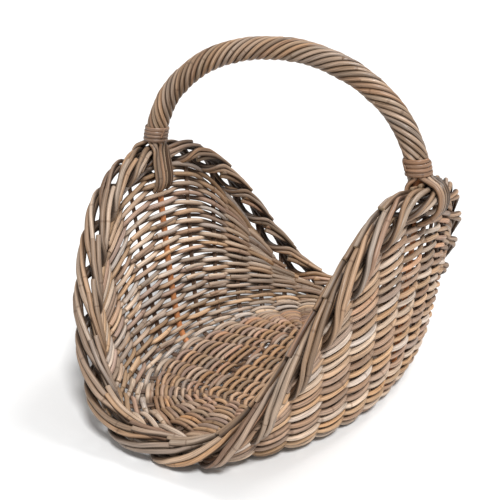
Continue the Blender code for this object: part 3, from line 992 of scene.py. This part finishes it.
def bundle_line(number, places):
    """The middle line of a bundle, and the direction from the rim to each of its points."""
    turn = np.radians(through(BUNDLE_PLACES, BUNDLE_TURNS, places))
    reach = through(BUNDLE_PLACES, BUNDLE_REACH, places) * BORDER_REACH
    centre, out, up = BORDER.at((number + places) / BUNDLES)
    at_handle = bell(centre[:, 1] / HANDLE_BULGE_LENGTH) * (centre[:, 2] > RIM_SIDE_HEIGHT / 2)
    reach = reach * (1 - HANDLE_PINCH * at_handle)
    tight = TIGHT_ENDS * bell((places - BUNDLE_PLACES[0]) / TIGHT_END_LENGTH)
    tight = tight + TIGHT_LOOPS * bell((places - TIGHT_LOOP_PLACE) / TIGHT_LOOP_LENGTH)
    behind = np.clip(centre[:, 1] / HANDLE_BULGE_LENGTH - 0.4, 0, 1) * (centre[:, 0] > 0)
    reach = reach * (1 - tight * behind)
    radial = out * np.cos(turn)[:, None] + up * np.sin(turn)[:, None]
    return centre + radial * reach[:, None], radial


def make_border():
    for number in range(BUNDLES):
        name, node = f"border_bundle_{number + 1:02d}", f"border_strand_{number % 3 + 1}"
        piece = Piece(name, BORDER_LOOK, "border_cane", [node], sides=12)
        main = (GREY, TAN, ROSE, TAUPE, SILVER)[RNG.integers(5)]
        late = RNG.uniform(0.02, 0.14)
        # Two canes side by side and one below them: how far to the side, how far below, how late.
        for side, below, start in ((-1.0, 0.0, 0.0), (1.0, 0.0, late), (0.35, 1.55, 0.25)):
            first = BUNDLE_PLACES[0] + start + RNG.normal(0, 0.06)
            places = np.linspace(first, BUNDLE_PLACES[-1] - RNG.uniform(0, 0.08), 84)
            line, radial = bundle_line(number, places)
            spread = (1.04 + wobble(places, 0.06)) * BORDER_CANE * side
            line = line + beside(line, radial) * spread[:, None] - radial * (BORDER_CANE * below)
            line = line + radial * wobble(places, 0.0009)[:, None]
            colour = roll_tint(main, (GREY, TAN, HONEY, SILVER), 0.19) * BORDER_TONE
            radius = BORDER_CANE * RNG.uniform(0.86, 1.08)
            piece.cane(line, radius, radial, colour, joint=RNG.uniform(0.07, 0.13),
                       painted_shade_cosines=BORDER_PAINTED_SHADE)
        piece.make()


# -------- handle


def on_bow(t):
    rise = (BOW_TOP_HEIGHT - BOW_SPRING_HEIGHT) * np.maximum(np.sin(t), 0) ** BOW_ROUNDNESS
    return np.stack([BOW_HALF_SPAN * np.cos(t), np.zeros_like(t), BOW_SPRING_HEIGHT + rise], axis=-1)


def even_bow(low_height, count):
    """Evenly spaced points over the bow from this height to the same height, and its directions."""
    t = np.linspace(0, np.pi / 2, 2000)
    start = np.interp(low_height, on_bow(t)[:, 2], t)
    fine = on_bow(np.linspace(start, np.pi - start, 2000))
    lengths = path_lengths(fine)
    points = read_table(np.linspace(0, lengths[-1], count), lengths, fine)
    return points, unit(np.gradient(points, axis=0))


def tail(ring_point, inside, slot_y, side):
    """A strand from the end of the twist down, inside the border or out over it."""
    shift = RNG.normal(0, 0.0004)
    points = [tuple(ring_point)]
    for x, z, share in TAIL_INSIDE if inside else TAIL_OUTSIDE:
        y = ring_point[1] * (1 - share) + slot_y * share
        points.append((side * (x + shift), y, z))
    return points


def tail_slots(turns):
    """For each strand and end: whether its tail goes inside, and the slot's distance along Y."""
    slots = {}
    for end, index in (("right", 0), ("left", -1)):
        for inside in (True, False):
            group = [k for k in range(STRANDS) if (np.sin(turns[k][index]) > 0) == inside]
            group.sort(key=lambda k: np.cos(turns[k][index]))
            for rank, k in enumerate(group):
                slots[k, end] = inside, (rank - (len(group) - 1) / 2) * TAIL_SLOT
    return slots


def make_strands():
    count = 170
    middle, along = even_bow(STRAND_END_HEIGHT, count)
    side_way = np.array([0, 1.0, 0])
    other = np.cross(along, side_way)
    twist = STRAND_TURNS * (np.linspace(0, 1, count) - 0.5)
    turns = np.array([TAU * (number / STRANDS - twist) for number in range(STRANDS)])
    slots = tail_slots(turns)
    for number in range(STRANDS):
        name, node = f"twisted_cane_{number + 1:02d}", f"handle_strand_{number + 1:02d}"
        piece = Piece(name, HANDLE_LOOK, "handle_cane", [node], sides=12)
        turn = turns[number]
        radial = side_way * np.cos(turn)[:, None] + other * np.sin(turn)[:, None]
        wander = wobble(np.linspace(0, 9, count), 0.00025)[:, None]
        ring = middle + radial * (STRAND_REACH + wander)
        right = tail(ring[0], *slots[number, "right"], 1)
        left = tail(ring[-1], *slots[number, "left"], -1)
        before = resampled(right[::-1], TAIL_STEP)[:-1]
        after = resampled(left, TAIL_STEP)[1:]
        line = np.concatenate([before, ring, after])
        ways = np.pad(radial, ((len(before), len(after)), (0, 0)), "edge")
        # One or two more canes are joined on to the first somewhere along the twist.
        new_canes = RNG.integers(1, 3)
        starts = sorted(RNG.uniform(0.2, 0.8, new_canes) * count)
        stops = [0, *[len(before) + int(start) for start in starts], len(line)]
        main = (GREY, TAUPE, TAN, SILVER, GREY)[RNG.integers(5)]
        for i, (a, b) in enumerate(zip(stops, stops[1:])):
            away = ways[a:b + STRAND_OVERLAP]
            part = line[a:b + STRAND_OVERLAP] + away * (STRAND_LIFT * (i % 2))
            colour = roll_tint(main, (GREY, TAN, SILVER, TAUPE), 0.24) * HANDLE_TONE
            radius = STRAND * RNG.uniform(0.95, 1.03)
            piece.cane(part, radius, away, colour, joint=RNG.uniform(0.09, 0.16),
                       painted_shade_cosines=STRAND_PAINTED_SHADE)
        piece.make()


def make_bindings():
    t = np.linspace(0, np.pi / 2, 2000)
    heights = on_bow(t)[:, 2]
    rise = BINDING_HIGH - BINDING_LOW
    for name, way in (("right", 1), ("left", -1)):
        node = f"handle_binding_{name}"
        piece = Piece(f"binding_{name}", HANDLE_LOOK, "handle_cane", [node], sides=12)
        mirror = np.array([way, 1, 1])
        share = np.linspace(0, 1, 200)
        centre = on_bow(np.interp(BINDING_LOW + rise * share, heights, t))
        angle = TAU * BINDING_TURNS * share + BINDING_START
        radial = level_circle(angle)
        line = (centre + radial * BINDING_REACH) * mirror
        piece.cane(line, BINDING_CANE, radial * mirror, tint_of(TAUPE, 0.05) * BINDING_TONE,
                   thin=0.6, joint=0.11, painted_shade_cosines=BINDING_PAINTED_SHADE)
        # The end of the binding is drawn down across the turns.
        share = np.linspace(0, 1, 40)
        centre = on_bow(np.interp(BINDING_HIGH - rise * share, heights, t))
        angle = (-2.5 if way > 0 else -0.2) + 0.5 * share * way
        radial = level_circle(angle)
        lift = BINDING_END_LIFT * np.sin(np.pi * share)[:, None] ** 0.4
        line = centre * mirror + radial * (BINDING_REACH + lift)
        piece.cane(line[4:26], BINDING_END, radial[4:26], tint_of(TAUPE, 0.05) * BINDING_TONE,
                   thin=0.55, joint=0.09)
        piece.make()


def make_bow():
    """The bow inside the twist. Below its binding it thins, and it goes down the wall as a stake."""
    # The last three points of a leg lean in from the wall to meet the arch.
    low = np.linspace(0.004, SIDE_LENGTH - 0.038, 60)
    heights = np.concatenate([low, SIDE_LENGTH - np.array([0.026, 0.016, 0.004])])
    offsets = np.concatenate([np.zeros(len(low)), [-0.0035, -0.0055, -0.0062]])
    points, normals = wall_frame(np.zeros(len(heights)), heights)
    leg = points + normals * offsets[:, None]
    arch, _ = even_bow(STRAND_END_HEIGHT, 120)
    line = np.concatenate([leg, arch, (leg * np.array([-1, 1, 1]))[::-1]])
    right_size = np.concatenate([np.full(len(low), BOW_RIGHT_LEG), [0.0030, 0.0033, 0.0037]])
    left_size = np.concatenate([np.full(len(low), BOW_LEFT_LEG), [0.0040, 0.0039, 0.0038]])
    size = np.concatenate([right_size, np.full(len(arch), BOW_ROD), left_size[::-1]])
    piece = Piece("bow_rod", ROD_LOOK, "bow_rod", ["handle_bow"], sides=14)
    piece.cane(line, 1.0, [0, 1.0, 0], tint_of(RED_BROWN, 0.02), joint=0.3)
    # The tube was made with a radius of one metre, so that this scales it point by point.
    verts = piece.points[0].reshape(-1, piece.sides, 3)
    middle = verts.mean(axis=1, keepdims=True)
    rings = pad_ends(size)
    rings[[0, -1]] *= 0.8
    piece.points[0] = (middle + unit(verts - middle) * rings[:, None, None]).reshape(-1, 3)
    piece.grain[0] = piece.grain[0] * np.array([0.006, 0.006, 1])
    piece.make()


make_stakes()
make_full_rows()
make_side_rows()
make_base_rings()
make_base_centre()
make_border()
make_strands()
make_bindings()
make_bow()


# -------- floor, light and camera


def make_floor():
    bpy.ops.mesh.primitive_plane_add(size=24)
    floor = bpy.context.object
    floor.name = "floor"
    material, tree, shader = new_material("floor_look")
    noise = add_node(tree, "ShaderNodeTexNoise")
    noise.inputs["Scale"].default_value = 3
    colour = mix(tree, noise.outputs["Fac"], (0.74, 0.74, 0.74), (0.76, 0.76, 0.755))
    tree.links.new(colour, shader.inputs["Base Color"])
    shader.inputs["Roughness"].default_value = 0.9
    shader.inputs["Specular IOR Level"].default_value = 0.1
    floor.data.materials.append(material)


def add_sun(name, place, strength, softness):
    """A soft studio light that shines from this direction."""
    light = bpy.data.lights.new(name, "SUN")
    light.energy = strength
    light.angle = np.radians(softness)
    add_object(name, light).rotation_euler = (-Vector(place)).to_track_quat("-Z", "Y").to_euler()


def make_lights():
    world = bpy.data.worlds.new("studio")
    bpy.context.scene.world = world
    world.use_nodes = True
    background = world.node_tree.nodes["Background"]
    background.inputs["Color"].default_value = (1, 1, 1, 1)
    background.inputs["Strength"].default_value = 0.44
    add_sun("key", (0.9, -0.8, 1.4), 3.3, 12)
    add_sun("fill", (-0.6, -1.2, 0.9), 0.15, 40)
    add_sun("back", (0.35, 0.9, 1.5), 1.35, 20)


def make_camera():
    azimuth, elevation, roll = np.radians([CAMERA_AZIMUTH, CAMERA_ELEVATION, CAMERA_ROLL])
    level = np.cos(elevation)
    back = np.array([np.sin(azimuth) * level, -np.cos(azimuth) * level, np.sin(elevation)])
    right = np.array([np.cos(azimuth), np.sin(azimuth), 0])
    up = np.cross(back, right)
    right, up = right * np.cos(roll) + up * np.sin(roll), up * np.cos(roll) - right * np.sin(roll)
    data = bpy.data.cameras.new("camera")
    data.lens = CAMERA_LENS
    data.shift_x, data.shift_y = CAMERA_SHIFT
    data.clip_end = CAMERA_FAR
    camera = add_object("camera", data)
    place = np.array([0, 0, CAMERA_TARGET_HEIGHT]) + back * CAMERA_DISTANCE
    rows = np.stack([right, up, back, place], axis=1)
    camera.matrix_world = Matrix([*rows.tolist(), (0, 0, 0, 1)])
    bpy.context.scene.camera = camera


make_floor()
make_lights()
make_camera()
bpy.context.scene.view_settings.view_transform = "Standard"
